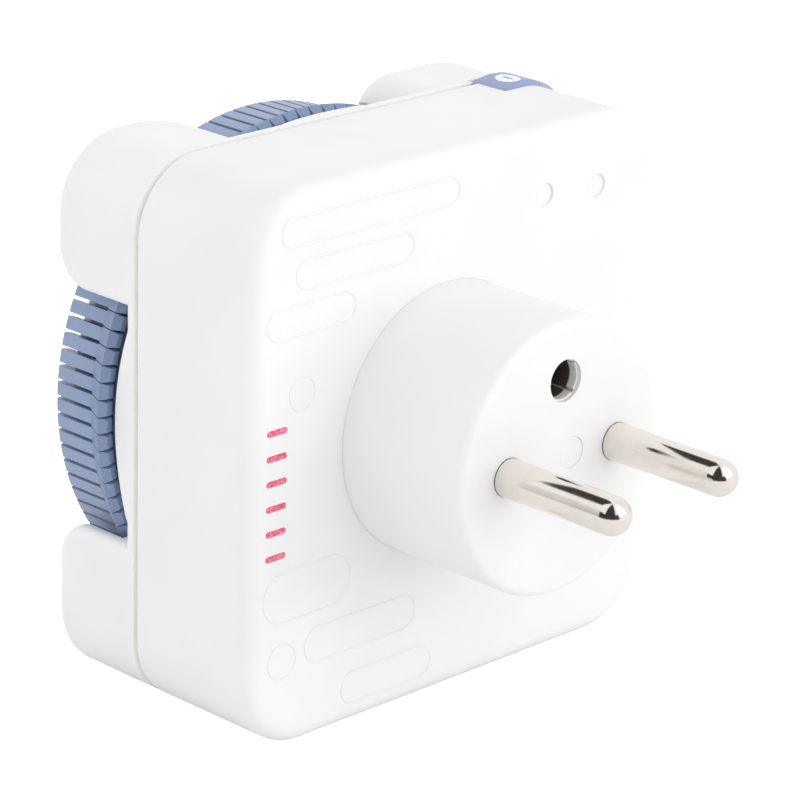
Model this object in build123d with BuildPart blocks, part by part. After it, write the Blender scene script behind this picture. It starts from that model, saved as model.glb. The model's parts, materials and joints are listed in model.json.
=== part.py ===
"""Plug-in timer switch: a 24 hour dial timer between a round wall plug and a socket.

Millimetres. The origin is the centre of the plug's end face, on the one axis that
the plug, the dial and the socket share. That axis is Y: the pins point to +Y, the
dial and the socket face -Y, and +Z is up.
"""
from build123d import *
from math import cos, pi, radians, sin, tan
import os

os.makedirs("parts", exist_ok=True)

# ---------------------------------------------------------------- driving sizes
# Plug
pin_radius = 2.4
pin_length = 19.0
pin_spacing = 19.0
earth_offset = 10.0
boss_radius = 17.5
boss_length = 20.0
boss_wall = 2.2
boss_face = 2.8
boss_edge_round = 1.1

# Casing
dial_proud = 1.55
case_offset_x = -3.0
case_offset_z = -1.6
case_corner = 9.5
shell_depth = 20.3
cover_depth = 15.1
wall = 2.0
back_round = 2.2
front_round = 1.0
window_round = 5.0
post_round = 6.0
block_skin = 4.4
seam_width = 0.75
seam_depth = 0.7
rim_height = 1.85
window_half = 15.5

# Dial
tappet_count = 96
tappet_first_angle = 3.075
crest_height = 1.5
ring_to_finger = 5.55
finger_thickness = 1.55
tappet_gap = 0.12
slot_width = 0.47
movable_tappets = 12
dial_clearance = 0.55
lobe_proud = 0.51
plate_thickness = 2.65
tip_proud = 0.2
number_proud = 0.3

# Socket
well_radius = 19.75
well_depth = 15.0
well_wall = 1.75
floor_thickness = 1.6
socket_proud = 1.9
contact_hole_radius = 2.75
earth_pin_length = 14.0
root_gap = 0.1
root_recess = 0.6

# Gear train: the drive pinion has its room between the socket's wall and the ring
pinion_room = 5.5
pinion_teeth = 9
wheel_teeth = 36
ring_teeth = 108
arbor_radius = 0.6

# Motor
motor_radius = 9.4

# Selector
selector_radius = 10.0
selector_width = 6.1
selector_inset_x = 9.0
selector_inset_z = 9.5
selector_step = 40.0
cam_start = 5.0
slide_travel = 0.82

# Feeler lever and switch
feeler_inset_x = 4.9
feeler_inset_z = 6.5
plunger_drop = 8.9
switch_height = 6.05

# Fits
running = 0.05
seat = 0.02
clear = 0.3

# ------------------------------------------------------------- derived stations
y_back = -boss_length
y_seam = y_back - shell_depth
y_front = y_seam - cover_depth
y_rim = y_seam - rim_height
y_plate = y_rim - plate_thickness
y_floor_inside = y_back - wall
y_socket = y_front - socket_proud
y_well = y_socket + well_depth
y_floor = y_well + floor_thickness

# The socket sets the ring gear, the ring gear the dial, and the dial the casing.
insert_radius = well_radius + well_wall
ring_radius = insert_radius + pinion_room
gear_module = 2 * ring_radius / ring_teeth
finger_radius = ring_radius + ring_to_finger
crest_radius = finger_radius + crest_height
lobe_radius = crest_radius + lobe_proud
cavity_radius = crest_radius + dial_clearance
corner_wall_radius = cavity_radius + wall
case_size = 2 * (crest_radius - dial_proud - case_offset_x)

half_spacing = pin_spacing / 2
case_inner = case_size - 2 * wall
inner_corner = case_corner - wall
boss_hollow = boss_radius - boss_wall
shank_radius = pin_radius - 0.2
shank_bore = shank_radius + seat

side_right = case_offset_x + case_size / 2
side_left = case_offset_x - case_size / 2
side_top = case_offset_z + case_size / 2
side_bottom = case_offset_z - case_size / 2

pitch_angle = 360 / tappet_count
y_dial_back = y_plate - 0.4
y_bead = y_dial_back - 1.8
y_crest = y_dial_back - 0.8
y_slot = y_dial_back - 3.8
y_tip = y_front - tip_proud
y_carrier = y_tip + 2.1
y_number = y_front - number_proud
bead_radius = 0.8
bead_centre = finger_radius - 1.35

pinion_radius = pinion_teeth * gear_module / 2
wheel_radius = wheel_teeth * gear_module / 2
stage = pinion_radius + wheel_radius
gear_height = 1.2

drive_x = 0.0
drive_z = -(ring_radius - pinion_radius)
inter_x = drive_x + stage * cos(radians(165))
inter_z = drive_z + stage * sin(radians(165))
motor_x = inter_x + stage * cos(radians(185))
motor_z = inter_z + stage * sin(radians(185))

y_base_back = y_floor + 2.4
y_pocket = y_floor + 1.3

# The gear train stands behind the contact base, and the motor fills what is left.
y_drive_back = y_base_back + 1.6
y_inter_back = y_drive_back + 2.0
y_lid_front = y_inter_back + 1.3
y_motor_front = y_lid_front + 0.8

selector_x = side_left + selector_inset_x
selector_z = side_top - selector_inset_z
y_selector_back = y_rim + clear + selector_width
y_cam_back = y_selector_back + 3.4
cam_radius = 6.5
follower_radius = 0.9

y_bar_front = y_cam_back + 1.4
y_bar_back = y_bar_front + 1.8
bar_z = selector_z - 0.5
bar_height = 2.6

feeler_x = side_right - feeler_inset_x
feeler_z = side_top - feeler_inset_z
y_tail_front = y_bar_front - 3.0
y_tail_back = y_bar_front - 0.5
plunger_z = feeler_z - plunger_drop
y_plunger = (y_tail_front + y_tail_back) / 2
tail_left = feeler_x - 1.1
tail_right = feeler_x + 0.7


# ---------------------------------------------------------------------- helpers
def across(y):
    """Plane square to the main axis at depth y: local x is X, local y is Z, forward is -Y."""
    return Plane(origin=(0, y, 0), x_dir=(1, 0, 0), z_dir=(0, -1, 0))


def radial_plane(angle):
    """Half plane through the main axis: local x is the radius, local y is Y."""
    a = radians(angle)
    return Plane(origin=(0, 0, 0), x_dir=(cos(a), 0, sin(a)), z_dir=(-sin(a), 0, cos(a)))


def tangent_plane(angle, radius):
    """Plane square to a radius: local x is tangential, local y is Y, normal is outward."""
    a = radians(angle)
    origin = (radius * cos(a), 0, radius * sin(a))
    return Plane(origin=origin, x_dir=(sin(a), 0, -cos(a)), z_dir=(cos(a), 0, sin(a)))


def disc(x, z, radius, y_from, y_to, mode=Mode.ADD):
    """Round bar along the main axis from y_from forward to y_to."""
    with BuildSketch(across(y_from)) as profile:
        with Locations((x, z)):
            Circle(radius)
    extrude(profile.sketch, amount=y_from - y_to, mode=mode)


def block(x_span, z_span, y_from, y_to, mode=Mode.ADD):
    """Straight block between two X values, two Z values and two depths."""
    with BuildSketch(across(y_from)) as profile:
        with Locations(((x_span[0] + x_span[1]) / 2, (z_span[0] + z_span[1]) / 2)):
            Rectangle(x_span[1] - x_span[0], z_span[1] - z_span[0])
    extrude(profile.sketch, amount=y_from - y_to, mode=mode)


def case_prism(size, corner, y_from, y_to, mode=Mode.ADD):
    """Square prism with round corners on the casing's own centre."""
    with BuildSketch(across(y_from)) as profile:
        with Locations((case_offset_x, case_offset_z)):
            RectangleRounded(size, size, corner)
    extrude(profile.sketch, amount=y_from - y_to, mode=mode)


def tooth_points(x, z, teeth, turn, root_radius, tip_radius, root_width, tip_width):
    """Outline of a toothed wheel about (x, z): four points for each tooth, the first at turn."""
    points = []
    for tooth in range(teeth):
        centre = turn + 360 * tooth / teeth
        for radius, width, side in (
            (root_radius, root_width, -1),
            (tip_radius, tip_width, -1),
            (tip_radius, tip_width, 1),
            (root_radius, root_width, 1),
        ):
            angle = radians(centre) + side * width / 2 / radius
            points.append((x + radius * cos(angle), z + radius * sin(angle)))
    return points


tooth_addendum = 0.64 * gear_module
tooth_dedendum = 0.9 * gear_module
tooth_root_width = 1.24 * gear_module
tooth_tip_width = 0.6 * gear_module


def toothed(x, z, teeth, turn, y_from, y_to):
    """External toothed wheel about an axis parallel to Y."""
    radius = teeth * gear_module / 2
    root = radius - tooth_dedendum
    tip = radius + tooth_addendum
    outline = tooth_points(x, z, teeth, turn, root, tip, tooth_root_width, tooth_tip_width)
    with BuildSketch(across(y_from)) as profile:
        with BuildLine():
            Polyline(*outline, close=True)
        make_face()
    extrude(profile.sketch, amount=y_from - y_to)


def label_and_export(builder, name):
    builder.part.label = name
    export_step(builder.part, f"parts/{name}.step")


# ------------------------------------------------------------------- back shell
pin_boss_radius = pin_radius + 2.0
y_shoulder = root_gap
pin_boss_length = 5.2
y_boss_face = -boss_face
y_pin_boss = y_boss_face - pin_boss_length
sleeve_outer = pin_radius + 0.7
sleeve_bore = pin_radius + 0.1
sleeve_length = 12.0
earth_mouth = pin_radius + 0.27
sleeve_lip = 0.6
sleeve_slit = 0.45
sleeve_slit_length = 7.8
arbor_boss_radius = 1.4
motor_ear_reach = motor_radius + 2.2
motor_ear_angles = (135, 315)
journal_radius = 1.8
slot_back = y_selector_back + clear
guide_positions = (-8.0, 12.0)
case_posts = ((14.8, 18.2), (21.2, 11.8))
y_switch_front = y_tail_front - 2.1
switch_back = y_switch_front + switch_height
hook_thickness = 1.4

with BuildPart() as back_shell:
    case_prism(case_size, case_corner, y_back, y_seam)
    fillet(back_shell.faces().sort_by(Axis.Y)[-1].edges(), back_round)
    case_prism(case_inner, inner_corner, y_floor_inside, y_seam, Mode.SUBTRACT)
    disc(0, 0, boss_radius + seat, y_back, y_floor_inside, Mode.SUBTRACT)
    # Posts for the two gear arbors, the feeler axle and the selector.
    disc(inter_x, inter_z, arbor_boss_radius, y_floor_inside, y_inter_back + clear)
    disc(drive_x, drive_z, arbor_boss_radius, y_floor_inside, y_drive_back + clear)
    disc(feeler_x, feeler_z, 1.8, y_floor_inside, y_bar_back - 0.2)
    disc(selector_x, selector_z, journal_radius + 0.6, y_floor_inside, y_cam_back + clear)
    disc(selector_x, selector_z, journal_radius, y_floor_inside, y_rim + 1.2)
    disc(inter_x, inter_z, arbor_radius + seat, y_floor_inside - 4, y_inter_back, Mode.SUBTRACT)
    disc(drive_x, drive_z, arbor_radius + seat, y_floor_inside - 4, y_drive_back, Mode.SUBTRACT)
    disc(feeler_x, feeler_z, 0.75 + seat, y_floor_inside - 2, y_bar_back - 0.3, Mode.SUBTRACT)
    # Two posts for the motor's ears and two for the switch.
    for angle in motor_ear_angles:
        ear_x = motor_x + motor_ear_reach * cos(radians(angle))
        ear_z = motor_z + motor_ear_reach * sin(radians(angle))
        disc(ear_x, ear_z, 1.9, y_floor_inside, y_motor_front)
        disc(ear_x, ear_z, 0.8 + seat, y_motor_front + 6, y_motor_front, Mode.SUBTRACT)
    for post_x, post_z in case_posts:
        disc(post_x, post_z, 1.7, y_floor_inside, switch_back)
        disc(post_x, post_z, 0.9, switch_back, switch_back - 2.5)
    # Two forked guides for the override slide.
    for guide_x in guide_positions:
        guide_span = (guide_x - 2, guide_x + 2)
        block(guide_span, (bar_z - 2.5, bar_z + 2.5), y_floor_inside, y_bar_front - 0.2)
        block(
            guide_span,
            (bar_z - bar_height / 2 - 0.1, bar_z + bar_height / 2 + 0.1),
            y_bar_back + 0.1,
            y_bar_front - 0.2,
            Mode.SUBTRACT,
        )
    # Shelf under the selector's detent spring.
    block(
        (side_left + wall, side_left + wall + 3.4),
        (selector_z - cam_radius - 3.3, selector_z - cam_radius - 1.2),
        y_floor_inside,
        y_selector_back + 0.6,
    )
    # The selector's rim stands out of the rounded corner through its own slot.
    disc(selector_x, selector_z, selector_radius + clear, slot_back, y_seam, Mode.SUBTRACT)
    disc(selector_x, selector_z, journal_radius, slot_back, y_rim + 1.2)
    # Moulding marks: two shallow dimples by the corner.
    for mark_x, mark_z in ((-16.9, 25.3), (-26.5, 24.7)):
        disc(mark_x, mark_z, 1.5, y_back, y_back - 0.25, Mode.SUBTRACT)
label_and_export(back_shell, "back_shell")

# -------------------------------------------------------------------- plug body
y_earth_boss = y_boss_face - 7.5

with BuildPart() as plug_body:
    disc(0, 0, boss_radius, 0, y_floor_inside)
    fillet(plug_body.faces().sort_by(Axis.Y)[-1].edges(), boss_edge_round)
    disc(0, 0, boss_hollow, y_boss_face, y_floor_inside, Mode.SUBTRACT)
    disc(0, earth_offset, sleeve_outer + 1.1, y_boss_face, y_earth_boss)
    for side in (-1, 1):
        pin_x = side * half_spacing
        disc(pin_x, 0, pin_boss_radius, y_boss_face, y_pin_boss)
        disc(pin_x, 0, shank_bore, 0, y_pin_boss, Mode.SUBTRACT)
        disc(pin_x, 0, pin_radius + seat, 0, -root_recess, Mode.SUBTRACT)
    disc(0, earth_offset, earth_mouth, 0, -sleeve_lip, Mode.SUBTRACT)
    disc(0, earth_offset, sleeve_outer + seat, -sleeve_lip, y_earth_boss, Mode.SUBTRACT)
    # Moulding mark between the pins.
    disc(-1.6, 0.5, 2.0, 0, -0.15, Mode.SUBTRACT)
label_and_export(plug_body, "plug_body")

# ------------------------------------------------------------------ front cover
y_tongue = y_seam - seam_width
lobe_front_radius = lobe_radius - (plate_thickness - 0.3)
drive_hole = pinion_radius + 1.05
y_cover_inside = y_front + wall
ledge_thickness = 1.15
ledge_radius = lobe_radius - 4.5
feeler_window = ((17.3, feeler_x - 3.1), (feeler_z - 1.4, side_top - wall - 0.4))
y_nose_back = y_front + 6.2
y_nose_front = y_front + 3.3



def window_post(edge):
    """The straight edge beside the selector, where the top window meets the casing's side."""
    centre = edge.center()
    return abs(centre.X + window_half) < 0.01 and centre.Z > side_top - 0.01


def on_window(edge):
    """Edge of a finger window."""
    centre = edge.center()
    return min(abs(abs(centre.X) - window_half), abs(abs(centre.Z) - window_half)) < 0.01


def on_side(edge):
    """Straight edge on one of the casing's four sides."""
    centre = edge.center()
    off_x = min(abs(centre.X - side_left), abs(centre.X - side_right))
    off_z = min(abs(centre.Z - side_bottom), abs(centre.Z - side_top))
    return min(off_x, off_z) < 0.01


def block_faces(builder):
    """The flat fronts of the four corner blocks."""
    return builder.faces().filter_by(Axis.Y).group_by(Axis.Y)[0]


with BuildPart() as lobe:
    with BuildSketch(Plane.XY):
        with BuildLine():
            Polyline(
                (insert_radius - 1, y_rim),
                (lobe_radius, y_rim),
                (lobe_radius, y_rim - 0.3),
                (lobe_front_radius, y_plate),
                (insert_radius - 1, y_plate),
                close=True,
            )
        make_face()
    revolve(axis=Axis.Y)
    case_prism(case_size, case_corner, y_rim, y_plate, Mode.INTERSECT)

with BuildPart() as front_cover:
    case_prism(case_size, case_corner, y_tongue, y_front)
    # Four finger windows leave the corner blocks standing.
    window_span = (-window_half, window_half)
    block((-case_size, case_size), window_span, y_rim, y_front, Mode.SUBTRACT)
    block(window_span, (-case_size, case_size), y_rim, y_front, Mode.SUBTRACT)
    posts = front_cover.edges().filter_by(Axis.Y).filter_by(window_post)
    fillet(posts, post_round)
    fillet(block_faces(front_cover).edges().filter_by(on_window), window_round)
    fillet(block_faces(front_cover).edges().filter_by(on_side), front_round)
    case_prism(case_size - 2 * seam_depth, case_corner - seam_depth, y_seam, y_tongue)
    # Hollow rim, dial cavity and hollow corner blocks.
    case_prism(case_inner, inner_corner, y_seam, y_rim, Mode.SUBTRACT)
    disc(0, 0, cavity_radius, y_plate, y_front, Mode.SUBTRACT)
    with BuildSketch(across(y_rim)):
        with Locations((case_offset_x, case_offset_z)):
            RectangleRounded(case_inner, case_inner, inner_corner)
        Circle(corner_wall_radius, mode=Mode.SUBTRACT)
        Rectangle(2 * (window_half + block_skin), 2 * case_size, mode=Mode.SUBTRACT)
        Rectangle(2 * case_size, 2 * (window_half + block_skin), mode=Mode.SUBTRACT)
    extrude(amount=y_rim - y_cover_inside, mode=Mode.SUBTRACT)
    add(lobe.part)
    disc(0, 0, insert_radius + seat, y_rim, y_plate, Mode.SUBTRACT)
    # Ledge that closes the rim behind each finger window.
    with BuildSketch(across(y_rim + ledge_thickness)):
        Rectangle(2 * (window_half + wall), 2 * case_size)
        Rectangle(2 * case_size, 2 * (window_half + wall))
        with Locations((case_offset_x, case_offset_z)):
            RectangleRounded(case_inner + 1, case_inner + 1, inner_corner, mode=Mode.INTERSECT)
        Circle(ledge_radius, mode=Mode.SUBTRACT)
    extrude(amount=ledge_thickness)
    disc(drive_x, drive_z, drive_hole, y_rim, y_plate, Mode.SUBTRACT)
    # Feeler nose window in the wall of the upper right block, and the axle's front seat.
    block(*feeler_window, y_nose_back + clear, y_nose_front - clear, Mode.SUBTRACT)
    disc(feeler_x, feeler_z, 1.7, y_nose_front - 0.4, y_cover_inside)
    disc(feeler_x, feeler_z, 0.75 + seat, y_nose_front, y_cover_inside, Mode.SUBTRACT)
    # The selector's slot goes on through the rim.
    disc(selector_x, selector_z, selector_radius + clear, y_seam, y_rim, Mode.SUBTRACT)
    # Snap hooks that reach into the back shell.
    hook_roots = (
        ((-4, 4), (side_top - wall - hook_thickness - 0.15, side_top - wall - 0.15)),
        ((14, 22), (side_bottom + wall + 0.15, side_bottom + wall + 0.15 + hook_thickness)),
        ((side_right - wall - 0.15 - hook_thickness, side_right - wall - 0.15), (-19, -11)),
        ((side_left + wall + 0.15, side_left + wall + 0.15 + hook_thickness), (-4, 4)),
    )
    for x_span, z_span in hook_roots:
        block(x_span, z_span, y_seam + 6, y_rim)
    for x_span, z_span in (
        ((-4, 4), (side_top - wall - 0.4, side_top - wall)),
        ((14, 22), (side_bottom + wall, side_bottom + wall + 0.4)),
        ((side_right - wall - 0.4, side_right - wall), (-19, -11)),
        ((side_left + wall, side_left + wall + 0.4), (-4, 4)),
    ):
        block(x_span, z_span, y_seam, y_rim)
label_and_export(front_cover, "front_cover")

# -------------------------------------------------------------------- plug pins
pin_flange_radius = pin_radius + 1.2
pin_flange = 1.0
rivet_radius = 1.2
strip_thickness = 0.7
tab_radius = pin_radius + 0.8


def plug_pin(x):
    """Round tipped pin with its flange and rivet end inside the plug."""
    y_flange = y_pin_boss
    y_tab = y_flange - pin_flange
    y_end = y_tab - strip_thickness - 0.6
    y_dome = pin_length - pin_radius
    with BuildPart() as pin:
        with BuildSketch(Plane(origin=(x, 0, 0), x_dir=(1, 0, 0), z_dir=(0, 0, 1))):
            with BuildLine():
                ThreePointArc(
                    (pin_radius, y_dome),
                    (pin_radius * cos(radians(45)), y_dome + pin_radius * sin(radians(45))),
                    (0, pin_length),
                )
                Polyline(
                    (0, pin_length),
                    (0, y_end),
                    (1.8, y_end),
                    (1.8, y_tab - strip_thickness),
                    (rivet_radius, y_tab - strip_thickness),
                    (rivet_radius, y_tab),
                    (pin_flange_radius, y_tab),
                    (pin_flange_radius, y_flange),
                    (shank_radius, y_flange),
                    (shank_radius, y_shoulder),
                    (pin_radius, y_shoulder),
                    (pin_radius, y_dome),
                )
            make_face()
        revolve(axis=Axis((x, 0, 0), (0, 1, 0)))
    return pin


y_strip_tab = y_pin_boss - pin_flange
for pin_name, pin_x in (("live_pin", half_spacing), ("neutral_pin", -half_spacing)):
    label_and_export(plug_pin(pin_x), pin_name)

# ------------------------------------------------------------------ earth parts
y_sleeve_end = -sleeve_lip - sleeve_length
y_ring_plate = y_boss_face - 8.0
earth_root = y_base_back + 6.3
ring_outer = sleeve_outer + 0.6

with BuildPart() as earth_sleeve:
    disc(0, earth_offset, sleeve_outer, -sleeve_lip, y_sleeve_end)
    disc(0, earth_offset, sleeve_bore, -sleeve_lip, y_sleeve_end, Mode.SUBTRACT)
    # Two crossed saw cuts leave four spring fingers at the mouth.
    with BuildSketch(across(-sleeve_lip)):
        with Locations((0, earth_offset)):
            for turn in (45, 135):
                Rectangle(2 * sleeve_outer + 1, sleeve_slit, rotation=turn)
    extrude(amount=sleeve_slit_length, mode=Mode.SUBTRACT)
label_and_export(earth_sleeve, "earth_sleeve")

y_earth_tip = y_well - earth_pin_length
with BuildPart() as earth_pin:
    disc(0, earth_offset, pin_radius, y_well - root_gap, y_earth_tip)
    fillet(earth_pin.faces().sort_by(Axis.Y)[0].edges(), pin_radius * 0.7)
    disc(0, earth_offset, shank_radius, earth_root, y_well - root_gap)
    disc(0, earth_offset, pin_radius + 0.6, y_pocket + 0.8, y_pocket)
label_and_export(earth_pin, "earth_pin")

with BuildPart() as earth_strip:
    disc(0, earth_offset, ring_outer, y_ring_plate, y_ring_plate - 0.8)
    disc(0, earth_offset, sleeve_outer + seat, y_ring_plate, y_ring_plate - 0.8, Mode.SUBTRACT)
    disc(0, earth_offset, ring_outer, earth_root, earth_root - 0.8)
    disc(0, earth_offset, shank_bore, earth_root, earth_root - 0.8, Mode.SUBTRACT)
    strip_low = earth_offset + sleeve_outer + 0.05
    block((-2, 2), (strip_low, strip_low + strip_thickness), y_ring_plate, earth_root - 0.8)
label_and_export(earth_strip, "earth_strip")

# ---------------------------------------------------------------- socket insert
flange_radius = insert_radius + 2.3
flange_height = 1.2
screw_x = 13.0
screw_z = -12.0
screw_radius = 0.85

with BuildPart() as socket_insert:
    disc(0, 0, insert_radius, y_floor, y_socket)
    disc(0, 0, flange_radius, y_socket + flange_height, y_socket)
    fillet(socket_insert.faces().sort_by(Axis.Y)[0].edges(), 0.5)
    disc(0, 0, well_radius, y_well, y_socket, Mode.SUBTRACT)
    mouth = socket_insert.edges().filter_by(GeomType.CIRCLE).group_by(Axis.Y)[0]
    fillet(mouth.sort_by(SortBy.RADIUS)[0], 0.5)
    for side in (-1, 1):
        disc(side * half_spacing, 0, contact_hole_radius, y_floor, y_well, Mode.SUBTRACT)
        disc(side * screw_x, screw_z, 2.2, y_floor + 1.8, y_floor)
        disc(side * screw_x, screw_z, screw_radius + seat, y_floor + 1.8, y_well + 0.5, Mode.SUBTRACT)
    disc(0, earth_offset, shank_bore, y_floor, y_well, Mode.SUBTRACT)
label_and_export(socket_insert, "socket_insert")

# ----------------------------------------------------------------- contact base
base_radius = insert_radius + 2.5
clamp_outer = 3.2
clamp_bore = pin_radius + 0.1
y_clamp_tube = y_base_back + 10.3
shutter_half_length = 13.0
shutter_half_width = contact_hole_radius + 0.55
shutter_thickness = 0.9
shutter_stud = 1.5

with BuildPart() as contact_base:
    disc(0, 0, base_radius, y_base_back, y_rim)
    disc(0, 0, insert_radius + seat, y_floor, y_rim, Mode.SUBTRACT)
    disc(0, 0, shutter_half_length + 0.4, y_pocket, y_floor, Mode.SUBTRACT)
    disc(0, 0, shutter_stud, y_pocket, y_floor + 0.1)
    for side in (-1, 1):
        disc(side * half_spacing, 0, clamp_outer + 1.3, y_clamp_tube, y_base_back)
        disc(side * screw_x, screw_z, 3.2, y_base_back + 0.8, y_base_back)
    disc(0, earth_offset, sleeve_outer + 0.9, y_base_back + 5.5, y_base_back)
    for side in (-1, 1):
        disc(side * half_spacing, 0, clamp_outer + 0.1, y_clamp_tube, y_pocket, Mode.SUBTRACT)
        disc(side * screw_x, screw_z, 2.2 + 0.1, y_floor + 1.9, y_floor, Mode.SUBTRACT)
        disc(side * screw_x, screw_z, screw_radius + 0.15, y_base_back + 0.8, y_floor, Mode.SUBTRACT)
    disc(0, earth_offset, sleeve_outer, y_base_back + 5.5, y_pocket, Mode.SUBTRACT)
    disc(drive_x, drive_z, drive_hole + 0.1, y_base_back, y_rim, Mode.SUBTRACT)
label_and_export(contact_base, "contact_base")

with BuildPart() as base_screws:
    for side in (-1, 1):
        y_head = y_base_back + 0.8
        disc(side * screw_x, screw_z, 1.8, y_head + 1.2, y_head)
        disc(side * screw_x, screw_z, screw_radius, y_head, y_well + 0.8)
        block((side * screw_x - 1.3, side * screw_x + 1.3), (screw_z - 0.25, screw_z + 0.25),
              y_head + 1.2, y_head + 0.7, Mode.SUBTRACT)
label_and_export(base_screws, "base_screws")

with BuildPart() as shutter:
    with BuildSketch(across(y_pocket - 0.2)):
        SlotOverall(2 * shutter_half_length, 2 * shutter_half_width)
        Circle(shutter_stud + running, mode=Mode.SUBTRACT)
    extrude(amount=shutter_thickness)
label_and_export(shutter, "shutter")

# ---------------------------------------------------------- clamps and live strip
y_clamp_front = y_pocket + 0.2
y_clamp_back = y_clamp_tube + 0.5
leg_outer = half_spacing + clamp_outer
leg_inner = leg_outer - strip_thickness


def clamp_tube(side):
    """Split spring tube that grips one pin of the plug in the socket."""
    disc(side * half_spacing, 0, clamp_outer, y_clamp_back, y_clamp_front)
    disc(side * half_spacing, 0, clamp_bore, y_clamp_back, y_clamp_front, Mode.SUBTRACT)
    inner_side = sorted((side * (half_spacing - 6), side * half_spacing))
    block(inner_side, (-0.5, 0.5), y_clamp_back - 2, y_clamp_front, Mode.SUBTRACT)


def pin_tab(side):
    """Washer riveted on the root of one plug pin."""
    disc(side * half_spacing, 0, tab_radius, y_strip_tab, y_strip_tab - strip_thickness)
    disc(side * half_spacing, 0, rivet_radius, y_strip_tab, y_strip_tab - strip_thickness, Mode.SUBTRACT)


def strip_leg(side, y_from, y_to):
    span = sorted((side * leg_inner, side * leg_outer))
    block(span, (-1.4, 1.4), y_from, y_to)


with BuildPart() as neutral_clamp:
    clamp_tube(-1)
    strip_leg(-1, y_strip_tab, y_clamp_back - 0.4)
    pin_tab(-1)
label_and_export(neutral_clamp, "neutral_clamp")

with BuildPart() as live_clamp:
    clamp_tube(1)
    strip_leg(1, y_clamp_back + 2.5, y_clamp_back - 0.4)
label_and_export(live_clamp, "live_clamp")

with BuildPart() as live_strip:
    strip_leg(1, y_strip_tab, y_clamp_back + 5)
    pin_tab(1)
label_and_export(live_strip, "live_strip")

# ------------------------------------------------------------------------- dial
bead_groove = bead_radius + running
carrier_radius = finger_radius - finger_thickness - 0.55
jaw_radius = bead_centre + 0.4
y_jaw_front = y_bead - 1.4
groove_ceiling = y_bead - 2.3
bearing_radius = insert_radius + running

with BuildPart() as dial_carrier:
    with BuildSketch(Plane.XY):
        with BuildLine():
            Polyline(
                (ring_radius + 1.4, y_dial_back),
                (jaw_radius, y_dial_back),
                (jaw_radius, y_jaw_front),
                (carrier_radius, y_jaw_front - 0.4),
                (carrier_radius, y_carrier),
                (bearing_radius, y_carrier),
                (bearing_radius, groove_ceiling),
                (ring_radius + 1.4, groove_ceiling),
                close=True,
            )
        make_face()
        with Locations((bead_centre, y_bead)):
            Circle(bead_groove, mode=Mode.SUBTRACT)
            Rectangle(4, 1.3, align=(Align.MIN, Align.CENTER), mode=Mode.SUBTRACT)
    revolve(axis=Axis.Y)
    # Ring gear that the drive pinion turns from inside.
    with BuildSketch(across(y_dial_back)):
        Circle(ring_radius + 1.6)
        tooth_pitch = pi * gear_module
        gap_outline = tooth_points(
            0, 0, ring_teeth, -90,
            ring_radius - tooth_addendum,
            ring_radius + tooth_dedendum,
            tooth_pitch - tooth_tip_width,
            tooth_pitch - tooth_root_width,
        )
        with BuildLine():
            Polyline(*gap_outline, close=True)
        make_face(mode=Mode.SUBTRACT)
    extrude(amount=y_dial_back - groove_ceiling)
label_and_export(dial_carrier, "dial_carrier")

number_bevel = 0.5
with BuildPart() as number_ring:
    with BuildSketch(Plane.XY):
        with BuildLine():
            Polyline(
                (insert_radius + 0.4, y_carrier),
                (carrier_radius, y_carrier),
                (carrier_radius, y_number + number_bevel + 0.5),
                (carrier_radius - number_bevel, y_number + 0.5),
                (flange_radius + 0.6, y_number),
                (insert_radius + 0.4, y_number),
                close=True,
            )
        make_face()
    revolve(axis=Axis.Y)
label_and_export(number_ring, "number_ring")


# ---------------------------------------------------------------------- tappets
finger_inner = finger_radius - finger_thickness
neck_half = 0.45
tip_round = 0.35


def tappet_at(angle):
    """One tappet: crested head, finger that points forward, bead that it pivots on."""
    arc = pitch_angle - 2 * 28.648 * tappet_gap / crest_radius
    neck_x = bead_centre + (bead_radius**2 - neck_half**2) ** 0.5
    head_under = jaw_radius + 0.6
    with BuildPart() as tappet:
        with BuildSketch(radial_plane(angle + arc / 2)):
            with BuildLine():
                Polyline(
                    (neck_x, y_bead + neck_half),
                    (head_under, y_bead + neck_half),
                    (head_under, y_dial_back - 0.15),
                    (crest_radius - 0.85, y_dial_back),
                    (crest_radius, y_crest),
                    (finger_radius, y_slot),
                    (finger_radius, y_tip + tip_round),
                )
                ThreePointArc(
                    (finger_radius, y_tip + tip_round),
                    (finger_radius - 0.293 * tip_round, y_tip + 0.293 * tip_round),
                    (finger_radius - tip_round, y_tip),
                )
                Line((finger_radius - tip_round, y_tip), (finger_inner + tip_round, y_tip))
                ThreePointArc(
                    (finger_inner + tip_round, y_tip),
                    (finger_inner + 0.293 * tip_round, y_tip + 0.293 * tip_round),
                    (finger_inner, y_tip + tip_round),
                )
                Polyline(
                    (finger_inner, y_tip + tip_round),
                    (finger_inner, y_slot - 0.4),
                    (head_under, y_slot + 0.4),
                    (head_under, y_bead - neck_half),
                    (neck_x, y_bead - neck_half),
                )
                ThreePointArc(
                    (neck_x, y_bead - neck_half),
                    (bead_centre - bead_radius, y_bead),
                    (neck_x, y_bead + neck_half),
                )
            make_face()
        revolve(axis=Axis.Y, revolution_arc=arc)
        for edge_side in (-1, 1):
            edge_angle = angle + edge_side * pitch_angle / 2
            with BuildSketch(tangent_plane(edge_angle, finger_inner - 1)):
                with Locations((0, (y_slot + y_tip - 2) / 2)):
                    Rectangle(slot_width, y_slot - y_tip + 2)
                with Locations((0, y_slot)):
                    Circle(slot_width / 2)
                with BuildLine():
                    Polyline((0, y_crest), (0.33, y_crest + 1), (-0.33, y_crest + 1), close=True)
                make_face()
            extrude(amount=6, mode=Mode.SUBTRACT)
    return tappet


first_movable = -(movable_tappets // 2)
for number in range(movable_tappets):
    tappet_angle = tappet_first_angle + (first_movable + number) * pitch_angle
    label_and_export(tappet_at(tappet_angle), f"tappet_{number + 1:02d}")

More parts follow.
